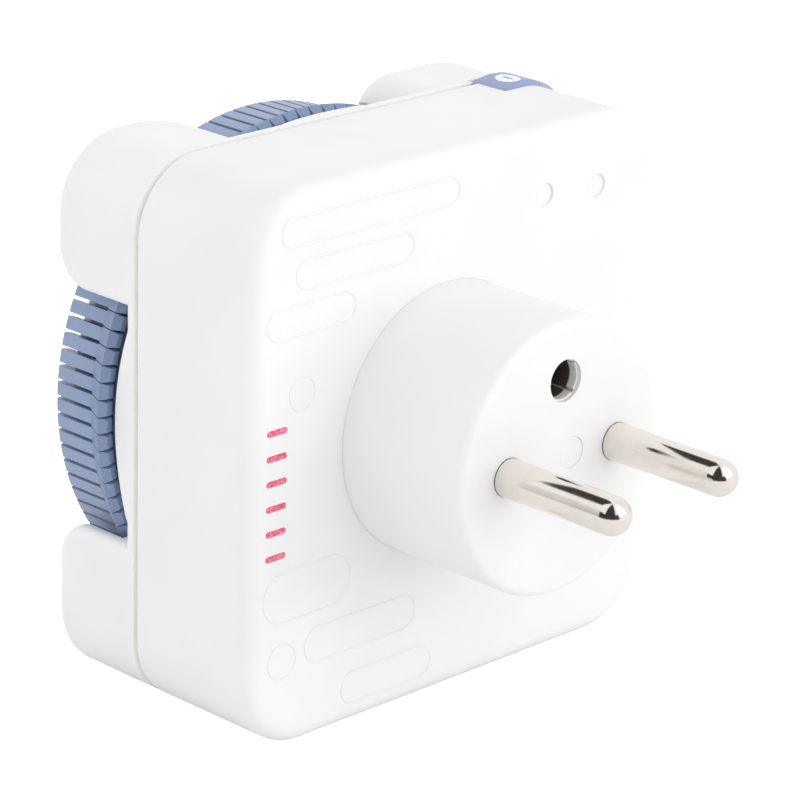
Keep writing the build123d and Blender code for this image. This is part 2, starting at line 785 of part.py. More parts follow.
pattern_tappet = tappet_at(tappet_first_angle).part
other_tappets = []
for number in range(movable_tappets, tappet_count):
    turn = (first_movable + number) * pitch_angle
    other_tappets.append(pattern_tappet.rotate(Axis.Y, -turn))
with BuildPart() as tappets:
    add(other_tappets)
label_and_export(tappets, "tappets")

# --------------------------------------------------------------------- selector
slot_half = follower_radius + 0.15


def spiral_point(turn, offset):
    """Point of the cam's groove: its radius falls steadily over the selector's travel."""
    radius = cam_start - slide_travel * turn / (2 * selector_step) + offset
    return (selector_x + radius * cos(radians(turn)), selector_z + radius * sin(radians(turn)))


with BuildPart() as selector_wheel:
    disc(selector_x, selector_z, selector_radius, y_selector_back, y_selector_back - selector_width)
    rims = selector_wheel.edges().filter_by(GeomType.CIRCLE).sort_by(Axis.Y)
    chamfer(rims[-1], 0.7)
    chamfer(selector_wheel.edges().filter_by(GeomType.CIRCLE).sort_by(Axis.Y)[0], 0.4)
    disc(selector_x, selector_z, cam_radius, y_cam_back, y_selector_back)
    disc(
        selector_x, selector_z, journal_radius + running,
        y_cam_back, y_selector_back - selector_width, Mode.SUBTRACT,
    )
    turns = [-4, 10, 24, 40, 56, 70, 84]
    with BuildSketch(across(y_cam_back)):
        with BuildLine():
            Spline(*[spiral_point(turn, slot_half) for turn in turns])
            ThreePointArc(
                spiral_point(turns[-1], slot_half),
                spiral_point(turns[-1] + 12, 0),
                spiral_point(turns[-1], -slot_half),
            )
            Spline(*[spiral_point(turn, -slot_half) for turn in reversed(turns)])
            ThreePointArc(
                spiral_point(turns[0], -slot_half),
                spiral_point(turns[0] - 12, 0),
                spiral_point(turns[0], slot_half),
            )
        make_face()
    extrude(amount=3.2, mode=Mode.SUBTRACT)
    for step in range(3):
        notch = radians(-90 + step * selector_step)
        disc(
            selector_x + cam_radius * cos(notch), selector_z + cam_radius * sin(notch), 0.7,
            y_cam_back, y_selector_back, Mode.SUBTRACT,
        )
label_and_export(selector_wheel, "selector_wheel")

spring_top = selector_z - cam_radius - 0.8
with BuildPart() as detent_spring:
    block((side_left + wall + 0.1, selector_x + 3.5), (spring_top - 0.4, spring_top),
          y_cam_back - 0.3, y_selector_back + 0.6)
    disc(selector_x, spring_top, 0.5, y_cam_back - 0.3, y_selector_back + 0.6)
label_and_export(detent_spring, "detent_spring")

hook_left = tail_right + clear
hook_right = side_right - wall - 0.35
with BuildPart() as override_slide:
    bar_span = (bar_z - bar_height / 2, bar_z + bar_height / 2)
    block((selector_x + cam_start - 1.1, hook_right), bar_span, y_bar_back, y_bar_front)
    block((hook_left, hook_right), (plunger_z + 1.6, bar_z), y_bar_back, y_bar_front)
    block((hook_left, hook_right), (plunger_z + 1.6, plunger_z + 4.0), y_bar_front, y_tail_front)
    disc(selector_x + cam_start, selector_z, follower_radius, y_bar_front, y_cam_back - 2.8)
label_and_export(override_slide, "override_slide")

# ------------------------------------------------------- feeler lever and switch
nose_angle = 56.0
nose_radius = crest_radius + 0.4
nose_x = nose_radius * cos(radians(nose_angle))
nose_z = nose_radius * sin(radians(nose_angle))
hub_radius = 1.5
axle_radius = 0.75

with BuildPart() as feeler_lever:
    disc(feeler_x, feeler_z, hub_radius, y_tail_back, y_nose_front)
    block((tail_left, tail_right), (plunger_z - 2, feeler_z), y_tail_back, y_tail_front)
    with BuildSketch(across(y_nose_back)):
        with BuildLine():
            Polyline(
                (feeler_x, feeler_z - hub_radius),
                (feeler_x, feeler_z + hub_radius),
                (nose_x + 1.2, nose_z + 1.5),
                (nose_x, nose_z + 0.7),
                (nose_x, nose_z),
                (nose_x + 1.6, nose_z + 0.1),
                close=True,
            )
        make_face()
    extrude(amount=y_nose_back - y_nose_front)
    disc(feeler_x, feeler_z, axle_radius + running, y_tail_back, y_nose_front, Mode.SUBTRACT)
label_and_export(feeler_lever, "feeler_lever")

with BuildPart() as feeler_axle:
    disc(feeler_x, feeler_z, axle_radius, y_floor_inside - 2.2, y_cover_inside + 0.1)
label_and_export(feeler_axle, "feeler_axle")

switch_left = 12.0
switch_right = tail_left - 2.5
switch_low = plunger_z - 9.5
switch_high = plunger_z + 2.5
plunger_radius = 1.05
with BuildPart() as snap_switch:
    block((switch_left, switch_right), (switch_low, switch_high), switch_back, y_switch_front)
    fillet(snap_switch.edges().filter_by(Axis.Y), 0.6)
    with BuildSketch(Plane(origin=(switch_right, y_plunger, plunger_z), z_dir=(-1, 0, 0))):
        Circle(plunger_radius + running)
    extrude(amount=5.4, mode=Mode.SUBTRACT)
    for post_x, post_z in case_posts:
        disc(post_x, post_z, 0.9 + seat, switch_back, switch_back - 2.8, Mode.SUBTRACT)
label_and_export(snap_switch, "snap_switch")

with BuildPart() as switch_plunger:
    plunger_tip = tail_left - clear
    with BuildSketch(Plane(origin=(plunger_tip, y_plunger, plunger_z), z_dir=(-1, 0, 0))):
        Circle(plunger_radius)
    extrude(amount=plunger_tip - switch_right + 3.6)
    fillet(switch_plunger.faces().sort_by(Axis.X)[-1].edges(), 0.5)
label_and_export(switch_plunger, "switch_plunger")

with BuildPart() as switch_terminals:
    for terminal_x in (switch_left + 3.4, switch_right - 3.4):
        block((terminal_x - 1, terminal_x + 1), (switch_low - 4, switch_low), y_plunger, y_plunger - 0.7)
label_and_export(switch_terminals, "switch_terminals")

# ------------------------------------------------------------------------ motor
can_wall = 0.6
rotor_radius = 3.2
shaft_radius = 0.5
core_bore = rotor_radius + 0.4
core_outer = core_bore + 0.6
with BuildPart() as motor_can:
    disc(motor_x, motor_z, motor_radius, y_floor_inside, y_motor_front)
    disc(motor_x, motor_z, motor_radius - can_wall, y_floor_inside - can_wall, y_motor_front, Mode.SUBTRACT)
    disc(motor_x, motor_z, shaft_radius + running, y_floor_inside, y_floor_inside - can_wall, Mode.SUBTRACT)
label_and_export(motor_can, "motor_can")

with BuildPart() as motor_lid:
    disc(motor_x, motor_z, motor_radius, y_motor_front, y_lid_front)
    with BuildSketch(across(y_motor_front)):
        with Locations(Location((motor_x, motor_z), motor_ear_angles[0])):
            SlotOverall(2 * motor_ear_reach + 4.4, 4.4)
    extrude(amount=y_motor_front - y_lid_front)
    for angle in motor_ear_angles:
        ear_x = motor_x + motor_ear_reach * cos(radians(angle))
        ear_z = motor_z + motor_ear_reach * sin(radians(angle))
        disc(ear_x, ear_z, 1.0, y_motor_front, y_lid_front, Mode.SUBTRACT)
    disc(motor_x, motor_z, shaft_radius + running, y_motor_front, y_lid_front, Mode.SUBTRACT)
label_and_export(motor_lid, "motor_lid")

with BuildPart() as motor_screws:
    for angle in motor_ear_angles:
        ear_x = motor_x + motor_ear_reach * cos(radians(angle))
        ear_z = motor_z + motor_ear_reach * sin(radians(angle))
        disc(ear_x, ear_z, 1.8, y_lid_front, y_lid_front - 0.9)
        disc(ear_x, ear_z, 0.8, y_motor_front + 5, y_lid_front)
label_and_export(motor_screws, "motor_screws")

spool_back = y_floor_inside - can_wall
spool_front = y_motor_front
spool_radius = motor_radius - can_wall - 0.2
spool_flange = 0.7
wire_radius = spool_radius - 0.4
with BuildPart() as coil_bobbin:
    disc(motor_x, motor_z, core_outer, spool_back, spool_front)
    disc(motor_x, motor_z, spool_radius, spool_back, spool_back - spool_flange)
    disc(motor_x, motor_z, spool_radius, spool_front + spool_flange, spool_front)
    disc(motor_x, motor_z, core_bore, spool_back, spool_front, Mode.SUBTRACT)
label_and_export(coil_bobbin, "coil_bobbin")

with BuildPart() as coil_winding:
    disc(motor_x, motor_z, wire_radius, spool_back - spool_flange, spool_front + spool_flange)
    disc(motor_x, motor_z, core_outer, spool_back - spool_flange, spool_front + spool_flange, Mode.SUBTRACT)
label_and_export(coil_winding, "coil_winding")

with BuildPart() as rotor:
    disc(motor_x, motor_z, rotor_radius, spool_back - 0.4, spool_front + 0.4)
    disc(motor_x, motor_z, shaft_radius, y_floor_inside - 0.1, y_inter_back - 1.6)
label_and_export(rotor, "rotor")

# ------------------------------------------------------------------- gear train
with BuildPart() as rotor_pinion:
    toothed(motor_x, motor_z, pinion_teeth, 185 + 180, y_inter_back + 0.3, y_inter_back - gear_height - 0.3)
    disc(motor_x, motor_z, shaft_radius, y_inter_back + 0.3, y_inter_back - gear_height - 0.3, Mode.SUBTRACT)
label_and_export(rotor_pinion, "rotor_pinion")

with BuildPart() as intermediate_gear:
    toothed(inter_x, inter_z, wheel_teeth, 185 + 5, y_inter_back, y_inter_back - gear_height)
    toothed(
        inter_x, inter_z, pinion_teeth, 165 + 180,
        y_inter_back - gear_height, y_drive_back - gear_height - 0.1,
    )
    disc(inter_x, inter_z, arbor_radius + running, y_inter_back, y_drive_back - 2, Mode.SUBTRACT)
label_and_export(intermediate_gear, "intermediate_gear")

with BuildPart() as intermediate_pin:
    disc(inter_x, inter_z, arbor_radius, y_floor_inside - 4.2, y_drive_back - gear_height - 0.2)
label_and_export(intermediate_pin, "intermediate_pin")

y_pinion_end = groove_ceiling + 0.6
with BuildPart() as drive_gear:
    toothed(drive_x, drive_z, wheel_teeth, 165 + 5, y_drive_back, y_drive_back - gear_height)
    toothed(drive_x, drive_z, pinion_teeth, -90, y_drive_back - gear_height, y_pinion_end)
    disc(drive_x, drive_z, arbor_radius + running, y_drive_back, y_pinion_end + 0.8, Mode.SUBTRACT)
label_and_export(drive_gear, "drive_gear")

with BuildPart() as drive_pin:
    disc(drive_x, drive_z, arbor_radius, y_floor_inside - 4.2, y_pinion_end + 1.0)
label_and_export(drive_pin, "drive_pin")


# ------------------------------------------------------------------------ leads
lead_radius = 0.55


def bend_radii(points):
    """Largest tangent arc that each corner of a route leaves room for."""
    radii = []
    for before, corner, after in zip(points, points[1:], points[2:]):
        run_in = Vector(*corner) - Vector(*before)
        run_out = Vector(*after) - Vector(*corner)
        half_turn = radians(run_in.get_angle(run_out) / 2)
        radii.append(0.45 * min(run_in.length, run_out.length) / tan(half_turn))
    return radii


def lead(points):
    """Insulated wire along straight runs joined by tangent arcs."""
    with BuildPart() as wire:
        with BuildLine() as route:
            FilletPolyline(*points, radius=bend_radii(points))
        with BuildSketch(Plane(origin=route.line @ 0, z_dir=route.line % 0)):
            Circle(lead_radius)
        sweep(path=route.line)
    return wire.part


def can_point(angle, reach, y):
    """Point straight out from the motor can's side."""
    radius = motor_radius + reach
    return (motor_x + radius * cos(radians(angle)), y, motor_z + radius * sin(radians(angle)))


terminal_z = switch_low - 2.5
first_terminal_x = switch_left + 3.4
second_terminal_x = switch_right - 3.4
lead_side = leg_outer + lead_radius + 0.02

with BuildPart() as switch_leads:
    add(lead([
        (lead_side, y_clamp_back + 10.5, 0),
        (lead_side, y_clamp_back + 6.5, 0.5),
        (first_terminal_x, y_clamp_back + 2.0, terminal_z),
        (first_terminal_x, y_plunger, terminal_z),
    ]))
    add(lead([
        (leg_outer, y_clamp_back + 1.0, 0),
        (leg_outer + 4.3, y_clamp_back + 1.0, 0),
        (second_terminal_x, y_clamp_back - 1.0, terminal_z),
        (second_terminal_x, y_plunger, terminal_z),
    ]))
label_and_export(switch_leads, "switch_leads")

with BuildPart() as motor_leads:
    add(lead([
        can_point(80, 0.02, y_clamp_back + 0.5),
        can_point(80, 4.5, y_clamp_back + 0.5),
        (-leg_outer - 5.8, y_clamp_back + 2.0, 0.6),
        (-leg_outer - 0.15, y_clamp_back + 2.5, 0.6),
    ]))
    add(lead([
        can_point(60, 0.02, y_clamp_back + 2.5),
        can_point(60, 5.0, y_clamp_back + 2.5),
        (-2, y_clamp_back + 3.5, -7.5),
        (half_spacing, y_clamp_back + 7.0, -8.0),
        (leg_outer - strip_thickness / 2, y_clamp_back + 7.5, -1.6),
    ]))
label_and_export(motor_leads, "motor_leads")
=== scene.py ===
# %% [markdown]
# # A plug-in timer switch
# The object is a small square box that plugs into a wall socket. Two nickelled pins
# stand on a round boss behind it, and a blue ring of ninety-six tappets turns round
# a recessed socket in front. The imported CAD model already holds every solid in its
# real place. This lesson gives each solid its finish and adds what moulders and
# printers leave on the surface: raised frames, ink, numerals and marks.

# %% Load the frame
import json
from math import cos, pi, radians, sin, sqrt

import bmesh
import bpy
from mathutils import Matrix, Vector


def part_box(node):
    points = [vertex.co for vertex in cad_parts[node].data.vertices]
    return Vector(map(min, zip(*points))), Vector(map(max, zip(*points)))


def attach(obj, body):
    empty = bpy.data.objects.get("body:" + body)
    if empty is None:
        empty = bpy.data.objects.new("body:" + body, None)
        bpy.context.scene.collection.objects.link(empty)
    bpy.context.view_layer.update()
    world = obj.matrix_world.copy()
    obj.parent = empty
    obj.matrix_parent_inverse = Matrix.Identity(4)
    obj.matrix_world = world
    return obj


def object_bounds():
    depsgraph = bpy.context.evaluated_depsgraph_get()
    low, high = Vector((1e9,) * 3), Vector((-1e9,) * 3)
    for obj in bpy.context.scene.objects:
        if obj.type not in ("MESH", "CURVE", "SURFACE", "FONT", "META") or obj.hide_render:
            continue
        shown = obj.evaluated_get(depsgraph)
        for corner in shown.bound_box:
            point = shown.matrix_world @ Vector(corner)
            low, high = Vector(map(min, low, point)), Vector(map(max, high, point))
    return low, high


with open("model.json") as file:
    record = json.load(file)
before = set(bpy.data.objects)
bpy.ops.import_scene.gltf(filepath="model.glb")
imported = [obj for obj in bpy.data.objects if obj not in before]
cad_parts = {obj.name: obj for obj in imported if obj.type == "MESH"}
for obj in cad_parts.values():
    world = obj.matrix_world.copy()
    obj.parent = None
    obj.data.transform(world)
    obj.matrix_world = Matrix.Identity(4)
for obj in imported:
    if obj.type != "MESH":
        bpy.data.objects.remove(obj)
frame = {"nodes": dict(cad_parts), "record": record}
cad_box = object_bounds()
nodes = frame["nodes"]
MM = 0.001

# %% [markdown]
# ## Where the camera stands
# The camera comes first, because every later choice is judged through it. A long lens
# keeps the casing's edges almost parallel. The place and the three angles are plain
# numbers, so the view can be set again by hand.

# %% Camera
camera_place = Vector((324.86, 292.44, 162.88)) * MM
view_azimuth = radians(134.583)
view_elevation = radians(19.648)
view_roll = radians(1.527)
sensor_width = 36.0
focal_length = 174.276

towards_camera = Vector((
    sin(view_azimuth) * cos(view_elevation),
    -cos(view_azimuth) * cos(view_elevation),
    sin(view_elevation),
))
level_right = (-towards_camera).cross(Vector((0, 0, 1))).normalized()
level_up = level_right.cross(-towards_camera)
image_right = cos(view_roll) * level_right + sin(view_roll) * level_up
image_up = cos(view_roll) * level_up - sin(view_roll) * level_right
camera_turn = Matrix((image_right, image_up, towards_camera)).transposed()

camera_data = bpy.data.cameras.new("camera")
camera_data.sensor_width = sensor_width
camera_data.lens = focal_length
camera_data.clip_start = 0.01
camera_data.clip_end = 20.0
camera = bpy.data.objects.new("camera", camera_data)
camera.matrix_world = Matrix.Translation(camera_place) @ camera_turn.to_4x4()
bpy.context.scene.collection.objects.link(camera)
bpy.context.scene.camera = camera
print("camera looks along", tuple(round(x, 3) for x in -towards_camera))

# %% [markdown]
# ## Writing shader maths as plain expressions
# A node tree is easier to read as arithmetic than as a list of links. `Value` wraps a
# socket so that `0.4 + 0.1 * noise` adds the Math nodes by itself.

# %% Value
class Value:
    """A shader socket that takes part in arithmetic."""

    def __init__(self, finish, socket):
        self.finish = finish
        self.socket = socket

    def math(self, operation, *terms):
        """A Math node on these terms, which are Values or plain numbers."""
        return self.finish.node("ShaderNodeMath", {"operation": operation}, terms)

    def __add__(self, other):
        return self.math("ADD", self, other)

    def __radd__(self, other):
        return self.math("ADD", other, self)

    def __sub__(self, other):
        return self.math("SUBTRACT", self, other)

    def __rsub__(self, other):
        return self.math("SUBTRACT", other, self)

    def __mul__(self, other):
        return self.math("MULTIPLY", self, other)

    def __rmul__(self, other):
        return self.math("MULTIPLY", other, self)

    def __pow__(self, other):
        return self.math("POWER", self, other)

    def above(self, edge):
        """1 where the value is greater than the edge, 0 elsewhere."""
        return self.math("GREATER_THAN", self, edge)

    def either(self, other):
        """The larger of two masks."""
        return self.math("MAXIMUM", self, other)

    def to_and_fro(self, length):
        """Climbs to the length and comes back down, over and over."""
        return self.math("PINGPONG", self, length)

    def ramp(self, low, high):
        """0 at low, 1 at high, a straight climb between and level beyond."""
        terms = (self, low, high, 0.0, 1.0)
        return self.finish.node("ShaderNodeMapRange", {"clamp": True}, terms)


# %% [markdown]
# `Finish` holds one material and its Principled shader. Its method `node` makes every
# node: it takes the node's type, then its settings, then what goes into its sockets.
# The other methods are short names for the few patterns that the finishes share.

# %% Finish
class Finish:
    """One material: its node tree and its Principled shader."""

    def __init__(self, name):
        self.material = bpy.data.materials.new(name)
        self.material.use_nodes = True
        self.tree = self.material.node_tree
        self.shader = self.tree.nodes["Principled BSDF"]

    def feed(self, socket, value):
        """Links a Value to a socket, or types a number or a colour into it."""
        if isinstance(value, Value):
            self.tree.links.new(value.socket, socket)
        else:
            socket.default_value = value

    def node(self, kind, settings=None, inputs=(), output=0):
        """Makes a node, sets it up, feeds its sockets and returns one output."""
        made = self.tree.nodes.new(kind)
        for name, value in (settings or {}).items():
            setattr(made, name, value)
        pairs = inputs.items() if isinstance(inputs, dict) else enumerate(inputs)
        for key, value in pairs:
            self.feed(made.inputs[key], value)
        return Value(self, made.outputs[output])

    def place(self):
        """The point that is shaded, in the object's own coordinates."""
        return self.node("ShaderNodeTexCoord", output="Object")

    def axes(self):
        """X, Y and Z of that point, in metres."""
        split = self.node("ShaderNodeSeparateXYZ", None, (self.place(),)).socket.node
        return [Value(self, socket) for socket in split.outputs]

    def rays(self, kind):
        """1 for rays of one kind, such as Camera or Glossy, and 0 for the others."""
        return self.node("ShaderNodeLightPath", output=f"Is {kind} Ray")

    def noise(self, size, detail=2.0, rough=0.5, stretch=(1, 1, 1), shift=(0, 0, 0)):
        """Noise between 0 and 1 with blotches about that many metres across."""
        mapping = {"Vector": self.place(), "Scale": stretch, "Location": shift}
        where = self.node("ShaderNodeMapping", None, mapping)
        inputs = {"Vector": where, "Scale": 1 / size, "Detail": detail, "Roughness": rough}
        return self.node("ShaderNodeTexNoise", None, inputs)

    def mix(self, mask, colour_a, colour_b):
        """colour_a where mask is 0, colour_b where it is 1."""
        inputs = {0: mask, 6: colour_a, 7: colour_b}
        return self.node("ShaderNodeMix", {"data_type": "RGBA"}, inputs, output=2)

    def relief(self, height, depth, edge):
        """Fine surface relief on edges that are broken by a small radius."""
        broken = self.node("ShaderNodeBevel", {"samples": 4}, {"Radius": edge})
        inputs = {"Strength": 1.0, "Distance": depth, "Height": height, "Normal": broken}
        return self.node("ShaderNodeBump", None, inputs)

    def shade(self, **sockets):
        """Feeds the main shader's sockets. An underscore stands for a space."""
        for name, value in sockets.items():
            self.feed(self.shader.inputs[name.replace("_", " ")], value)

    def base(self):
        """The colour that feeds the shader so far."""
        return Value(self, self.shader.inputs["Base Color"].links[0].from_socket)


# %% [markdown]
# Colours are chosen on a screen, from 0 to 255, but a shader works with linear light.
# `tone` turns one into the other, so the numbers below read as they do in a colour
# picker.

# %% Colours
def tone(red, green, blue):
    """Screen colour, 0 to 255, as the linear colour that a shader takes."""
    def linear(part):
        part = part / 255
        return part / 12.92 if part <= 0.04045 else ((part + 0.055) / 1.055) ** 2.4
    return (linear(red), linear(green), linear(blue), 1.0)


def darker(colour, share):
    """The colour without that share of its light."""
    return tuple(part * (1 - share) for part in colour[:3]) + (1.0,)


print("a middle grey of 128 is", round(tone(128, 128, 128)[0], 3), "in linear light")

# %% [markdown]
# ## Moulded plastic
# The casing is white ABS from a spark-eroded mould: a satin skin with a grain of about
# a fifth of a millimetre, and a colour that drifts very slightly where the melt met.
# The same recipe makes every moulded part. Only its colour, gloss, grain and the small
# radius on its edges change.

# %% Moulded finishes
flow_size = 14 * MM
fleck_size = 1.1 * MM
fleck_strength = 0.25


def moulded(name, colour, roughness, grain=0.22, depth=0.004, edge=0.12, drift=0.03):
    """Moulded plastic. Grain, depth and edge are in millimetres."""
    finish = Finish(name)
    fine = finish.noise(grain * MM, 3.0, 0.55)
    slow = finish.noise(flow_size, 3.0, 0.5, shift=(0.3, 0.1, 0.7))
    flecks = finish.noise(fleck_size, 2.0, 0.6).ramp(0.66, 0.72) * fleck_strength
    shaded = darker(colour, drift)
    body = finish.mix(slow.ramp(0.35, 0.65), colour, shaded)
    finish.shade(
        Base_Color=finish.mix(flecks, body, shaded),
        Roughness=roughness + 0.1 * (slow - 0.5) + 0.06 * (fine - 0.5),
        Normal=finish.relief(fine, depth * MM, edge * MM),
        IOR=1.5,
    )
    print(name, "has", len(finish.tree.nodes), "nodes")
    return finish


white = tone(241, 241, 241)

# After the colour come roughness, grain, depth, edge and drift.
shell_white = moulded("moulded_white", white, 0.5)
socket_white = moulded("polished_white", tone(238, 238, 236), 0.22, 0.6, 0.001, 0.1)
ring_white = moulded("ring_white", tone(236, 237, 238), 0.42, 0.2, 0.003, 0.1)
dial_blue = moulded("dial_blue", tone(142, 160, 192), 0.28, 0.16, 0.004, 0.09, 0.06)
wheel_blue = moulded("wheel_blue", tone(150, 163, 199), 0.34, 0.18, 0.003, 0.14, 0.05)
inner_grey = moulded("inner_grey", tone(88, 89, 92), 0.5, 0.25, 0.004, 0.1, 0.1)
acetal = moulded("natural_acetal", tone(226, 221, 204), 0.34, 0.4, 0.002, 0.06, 0.04)
ferrite = moulded("bonded_ferrite", tone(62, 61, 63), 0.55, 0.12, 0.01, 0.05, 0.15)
lead_blue = moulded("lead_blue", tone(38, 66, 132), 0.38, 0.3, 0.002, 0.02, 0.05)

# %% [markdown]
# The front cover has a narrow tongue that shows at the bottom of the parting line all
# the way round. On the side with the dial window, the warm shade in this groove is painted
# into the colour as a warm tint in patches. A mask on the depth along Y finds it. Light
# also sinks a little way into the cover's thin walls and comes out again beside the
# groove, so this white scatters it.

# %% Cover with painted shade in the seam
seam_shade_tint = tone(250, 249, 242)
seam_front = -41.08 * MM
unshaded_until = 18 * MM
shadowed_from = 28 * MM
shade_patch_size = 2.5 * MM
scatter_depth = 0.8 * MM

cover_white = moulded("moulded_white_cover", white, 0.5)
across_x, depth_y, _ = cover_white.axes()
shadowed_side = across_x.ramp(unshaded_until, shadowed_from)
patches = 0.7 + 0.5 * cover_white.noise(shade_patch_size, 4.0)
# Painted shade: a warm tint in the seam's groove, in patches, on the window side only.
painted_seam_shade = depth_y.above(seam_front) * shadowed_side * patches
cover_white.shade(
    Base_Color=cover_white.mix(painted_seam_shade, cover_white.base(), seam_shade_tint),
    Subsurface_Weight=0.6,
    Subsurface_Scale=scatter_depth,
    Subsurface_Radius=(1.0, 0.95, 0.85),
)
print("the seam is shadowed behind y =", round(seam_front, 5), "m")

# %% [markdown]
# The tappets are pushed in and out with a finger nail. Their heads sit deep in the window,
# in the cover's shade, and that shade is painted on them as a darker blue.

# %% Painted shade on the tappets' heads
shaded_head_blue = tone(117, 136, 170)
head_shade_strength = 0.75
head_depth = 4.2 * MM
shade_fade_length = 0.9 * MM

heads_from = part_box("tappets")[1].y - head_depth
_, depth_y, _ = dial_blue.axes()
# Painted shade: a darker blue on the heads, faded in over a short length of Y.
painted_head_shade = depth_y.ramp(heads_from, heads_from + shade_fade_length) * head_shade_strength
dial_blue.shade(Base_Color=dial_blue.mix(painted_head_shade, dial_blue.base(), shaded_head_blue))
print("the tappets' heads start at y =", round(heads_from, 5), "m")

# %% [markdown]
# ## Metals
# The pins are turned brass with a nickel skin. Turning and plugging leave fine lines,
# so the roughness follows a noise that is stretched along the pin. Stamped brass,
# zinc-plated steel and the rolled spring take the same recipe with other colours.

# %% Metal finishes
cloud_size = 3.2 * MM
stain_shade = 0.28
metal_edge = 0.06 * MM


def metal(name, colour, roughness, stretch, line, depth, stain):
    """Metal with lines drawn along one axis. Line and depth are in millimetres."""
    finish = Finish(name)
    lines = finish.noise(line * MM, 3.0, 0.6, stretch)
    cloud = finish.noise(cloud_size, 3.0, 0.55, shift=(0.2, 0.5, 0.1))
    stained = cloud.ramp(0.45, 0.7) * stain
    finish.shade(
        Base_Color=finish.mix(stained, colour, darker(colour, stain_shade)),
        Metallic=1.0,
        Roughness=roughness + 0.12 * (lines - 0.5) + 0.1 * (cloud - 0.5),
        Normal=finish.relief(lines, depth * MM, metal_edge),
    )
    print(name, "has", len(finish.tree.nodes), "nodes")
    return finish


# After the colour come roughness, stretch, line, depth and stain.
nickel = metal("turned_nickel", tone(237, 231, 223), 0.11, (1, 0.3, 1), 0.07, 0.0032, 0.22)
sleeve_nickel = metal(
    "tarnished_nickel", tone(252, 249, 244), 0.16, (1, 0.12, 1), 0.14, 0.0012, 0.1
)
brass = metal("stamped_brass", tone(214, 178, 104), 0.3, (1, 1, 0.04), 0.2, 0.001, 0.5)
bronze = metal("spring_bronze", tone(196, 142, 96), 0.28, (0.05, 1, 1), 0.15, 0.001, 0.4)
steel = metal("zinc_steel", tone(186, 188, 190), 0.34, (1, 1, 1), 0.8, 0.001, 0.5)

# %% [markdown]
# The earth sleeve is rubbed bright where the wall socket's pin enters it. Further in,
# out of reach of any cloth, the nickel has gone a dull brown. Y falls towards the
# inside, so the ramp runs from the bright end down to the dull one.

# %% Tarnish in the earth sleeve
tarnish_brown = tone(84, 72, 68)
bright_depth = 1.0 * MM
dull_depth = 1.2 * MM
scratch_size = 0.35 * MM

sleeve_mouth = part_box("earth_sleeve")[1].y
_, depth_y, _ = sleeve_nickel.axes()
tarnish = depth_y.ramp(sleeve_mouth - bright_depth, sleeve_mouth - dull_depth)
scratches = sleeve_nickel.noise(scratch_size, 3.0, 0.6)
sleeve_nickel.shade(
    Base_Color=sleeve_nickel.mix(tarnish, sleeve_nickel.base(), tarnish_brown),
    Metallic=0.5 * scratches,
    Roughness=0.35 + 0.3 * scratches,
)
print("the sleeve's mouth is at y =", round(sleeve_mouth, 5), "m")

# %% [markdown]
# The coil is hundreds of turns of enamelled wire. Modelling each one would be wasted
# inside a closed can, so bands along Y give the turns, and the bump rounds them.

# %% Coil finish
wire_pitch = 0.16 * MM
wire_depth = 0.04 * MM
wire_edge = 0.02 * MM
enamel_orange = tone(190, 96, 52)
enamel_brown = tone(146, 62, 36)

copper = Finish("enamelled_wire")
_, along_coil, _ = copper.axes()
rounded = (along_coil.to_and_fro(wire_pitch) * (1 / wire_pitch)) ** 0.5
copper.shade(
    Base_Color=copper.mix(copper.noise(1.5 * MM), enamel_orange, enamel_brown),
    Metallic=0.8,
    Roughness=0.3 + 0.1 * copper.noise(0.8 * MM),
    Normal=copper.relief(rounded, wire_depth, wire_edge),
)
print("enamelled_wire has", len(copper.tree.nodes), "nodes")

# %% [markdown]
# ## Finishes on the CAD nodes
# Each node of the record names a material slot. A table from slot to finish is nearly
# all that is needed. The front cover and the earth sleeve alone take their own versions
# of the white and the nickel.

# %% Dress the nodes
finish_of_slot = {
    "shell_plastic": shell_white,
    "socket_plastic": socket_white,
    "number_plastic": ring_white,
    "dial_plastic": dial_blue,
    "selector_plastic": wheel_blue,
    "pin_nickel": nickel,
    "brass": brass,
    "spring_bronze": bronze,
    "inner_plastic": inner_grey,
    "gear_plastic": acetal,
    "steel": steel,
    "copper": copper,
    "magnet": ferrite,
    "lead_pvc": lead_blue,
}
finish_of_node = {"front_cover": cover_white, "earth_sleeve": sleeve_nickel}
for row in frame["record"]["subparts"]:
    slot_finish = finish_of_slot[row["material_slot"]]
    chosen = finish_of_node.get(row["node"], slot_finish)
    slots = nodes[row["node"]].data.materials
    slots.clear()
    slots.append(chosen.material)
print("finishes:", len(finish_of_slot) + len(finish_of_node), "on", len(nodes), "nodes")

# %% [markdown]
# ## Making a piece
# Every new piece goes through the same last step: its doubles are merged, its normals
# are turned outwards, and the object is put on the body that carries it. The tool that
# turns normals can be fooled by a flat ring and leave it inside out. A closed shape
# that is inside out has a negative volume, so the volume is measured and the faces are
# turned back if need be. Pieces are drawn flat and lifted, and some of them are made of
# several shapes joined in one.

# %% Helpers: finished piece, lift and join
weld_distance = 1e-7


def object_from(name, shape, finish):
    """Turns a bmesh into an object with one finish."""
    mesh = bpy.data.meshes.new(name)
    shape.to_mesh(mesh)
    shape.free()
    mesh.materials.append(finish.material)
    made = bpy.data.objects.new(name, mesh)
    bpy.context.scene.collection.objects.link(made)
    return made


def piece(name, shape, finish, body):
    """Turns a bmesh into an object that rides on a body."""
    bmesh.ops.remove_doubles(shape, verts=shape.verts, dist=weld_distance)
    bmesh.ops.recalc_face_normals(shape, faces=shape.faces)
    if shape.calc_volume(signed=True) < 0:
        bmesh.ops.reverse_faces(shape, faces=shape.faces)
    volume = shape.calc_volume(signed=True) / MM ** 3
    made = object_from(name, shape, finish)
    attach(made, body)
    print(name, "has", len(made.data.polygons), "faces and", round(volume, 3), "mm3")


